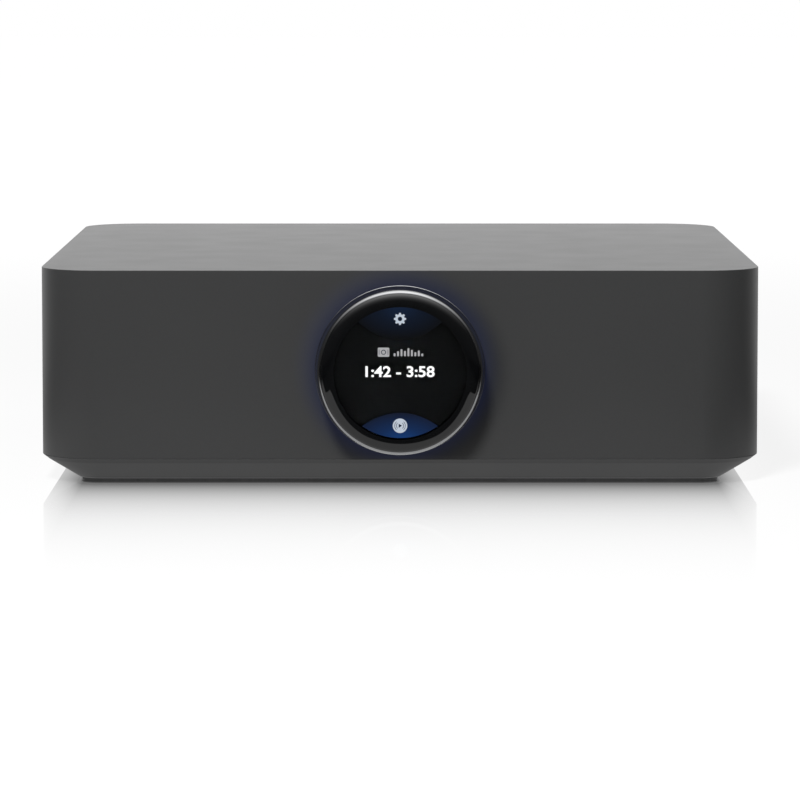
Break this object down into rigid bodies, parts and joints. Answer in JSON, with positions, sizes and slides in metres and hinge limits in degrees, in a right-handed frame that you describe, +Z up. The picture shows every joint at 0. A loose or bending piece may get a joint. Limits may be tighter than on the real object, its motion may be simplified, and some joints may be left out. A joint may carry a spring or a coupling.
{
  "type": "streaming amplifier",
  "caption": "Low square amplifier case with rounded corners on a bevelled tray, a round display inside a turning volume ring on the front, sockets behind.",
  "frame": {"origin": "on the surface it stands on, under the middle of the case", "axes": "+X to the right seen from the front, +Y from the front to the back, +Z up"},
  "size_m": [0.215, 0.2358, 0.064],
  "materials": {
    "case_metal": "bead-blasted and anodised dark grey",
    "tray_metal": "bead-blasted and anodised dark grey",
    "foot_rubber": "matt black",
    "steel": "zinc plated",
    "panel_coat": "fine matt black paint",
    "ring_metal": "turned, anodised near black",
    "dial_glass": "polished, edge curved",
    "display_black": "black display face",
    "black_plastic": "moulded, fine texture",
    "white_plastic": "moulded",
    "red_plastic": "moulded, clear tinted",
    "light_guide": "milky diffuser",
    "gold_plate": "gold plated",
    "bright_metal": "nickel plated",
    "circuit_board": "solder mask over glass fibre",
    "ribbon_film": "amber film",
    "ferrite": "sintered, dull",
    "coil_tape": "yellow tape over copper wire",
    "capacitor_sleeve": "sleeved can",
    "sink_metal": "extruded"
  },
  "bodies": {
    "chassis": {"upper_case": "case_metal", "base_tray": "tray_metal", "foot_ring": "foot_rubber", "rear_panel": "panel_coat", "cover_glass": "dial_glass", "display_panel": "display_black", "display_hub": "black_plastic", "glide_ring": "white_plastic", "halo_ring": "light_guide", "knob_bracket": "steel", "encoder_board": "circuit_board", "encoder_sensor": "black_plastic", "display_ribbon": "ribbon_film", "post_studs": "gold_plate", "post_plates": "black_plastic", "post_nuts": "bright_metal", "phono_block": "black_plastic", "phono_sleeves": "gold_plate", "phono_inserts": "white_plastic", "optical_socket": "black_plastic", "link_shell": "bright_metal", "link_tongue": "black_plastic", "network_socket": "black_plastic", "network_contacts": "gold_plate", "reset_switch": "black_plastic", "mains_inlet": "black_plastic", "mains_pins": "bright_metal", "main_board": "circuit_board", "main_chips": "black_plastic", "power_board": "circuit_board", "amp_board": "circuit_board", "transformer_core": "ferrite", "transformer_coil": "coil_tape", "capacitors": "capacitor_sleeve", "heat_sink": "sink_metal", "inductors": "ferrite", "antennas": "circuit_board"},
    "dial": {"volume_ring": "ring_metal", "encoder_wheel": "black_plastic"},
    "flap": {"optical_flap": "black_plastic"},
    "reset": {"reset_button": "black_plastic"},
    "cap_thread_1": {"post_bush_1": "gold_plate"},
    "cap_1": {"post_cap_1": "red_plastic"},
    "cap_thread_2": {"post_bush_2": "gold_plate"},
    "cap_2": {"post_cap_2": "black_plastic"},
    "cap_thread_3": {"post_bush_3": "gold_plate"},
    "cap_3": {"post_cap_3": "red_plastic"},
    "cap_thread_4": {"post_bush_4": "gold_plate"},
    "cap_4": {"post_cap_4": "black_plastic"}
  },
  "joints": [
    {"name": "dial_turn", "type": "hinge", "parent": "chassis", "child": "dial", "pos_m": [0, -0.1075, 0.0344], "axis": [0, 1, 0], "continuous": true},
    {"name": "flap_swing", "type": "hinge", "parent": "chassis", "child": "flap", "pos_m": [0.012, 0.1044, 0.03015], "axis": [-1, 0, 0], "range_deg": [0, 85], "stiffness_Nm_per_rad": 0.0004, "springref_deg": -17.19},
    {"name": "reset_press", "type": "slide", "parent": "chassis", "child": "reset", "axis": [0, -1, 0], "range_m": [0, 0.0005], "stiffness_N_per_m": 200, "springref_m": -0.001},
    {"name": "cap_travel_1", "type": "slide", "parent": "chassis", "child": "cap_thread_1", "axis": [0, 1, 0], "range_m": [0, 0.0032]},
    {"name": "cap_turn_1", "type": "hinge", "parent": "cap_thread_1", "child": "cap_1", "pos_m": [0.066, 0.1081, 0.0455], "axis": [0, 1, 0], "range_deg": [0, 1441]},
    {"name": "cap_travel_2", "type": "slide", "parent": "chassis", "child": "cap_thread_2", "axis": [0, 1, 0], "range_m": [0, 0.0032]},
    {"name": "cap_turn_2", "type": "hinge", "parent": "cap_thread_2", "child": "cap_2", "pos_m": [0.066, 0.1081, 0.0265], "axis": [0, 1, 0], "range_deg": [0, 1441]},
    {"name": "cap_travel_3", "type": "slide", "parent": "chassis", "child": "cap_thread_3", "axis": [0, 1, 0], "range_m": [0, 0.0032]},
    {"name": "cap_turn_3", "type": "hinge", "parent": "cap_thread_3", "child": "cap_3", "pos_m": [0.047, 0.1081, 0.0455], "axis": [0, 1, 0], "range_deg": [0, 1441]},
    {"name": "cap_travel_4", "type": "slide", "parent": "chassis", "child": "cap_thread_4", "axis": [0, 1, 0], "range_m": [0, 0.0032]},
    {"name": "cap_turn_4", "type": "hinge", "parent": "cap_thread_4", "child": "cap_4", "pos_m": [0.047, 0.1081, 0.0265], "axis": [0, 1, 0], "range_deg": [0, 1441]}
  ],
  "couplings": [
    {"joint": "cap_turn_1", "follows": "cap_travel_1", "rad_per_m": 7854},
    {"joint": "cap_turn_2", "follows": "cap_travel_2", "rad_per_m": 7854},
    {"joint": "cap_turn_3", "follows": "cap_travel_3", "rad_per_m": 7854},
    {"joint": "cap_turn_4", "follows": "cap_travel_4", "rad_per_m": 7854}
  ]
}
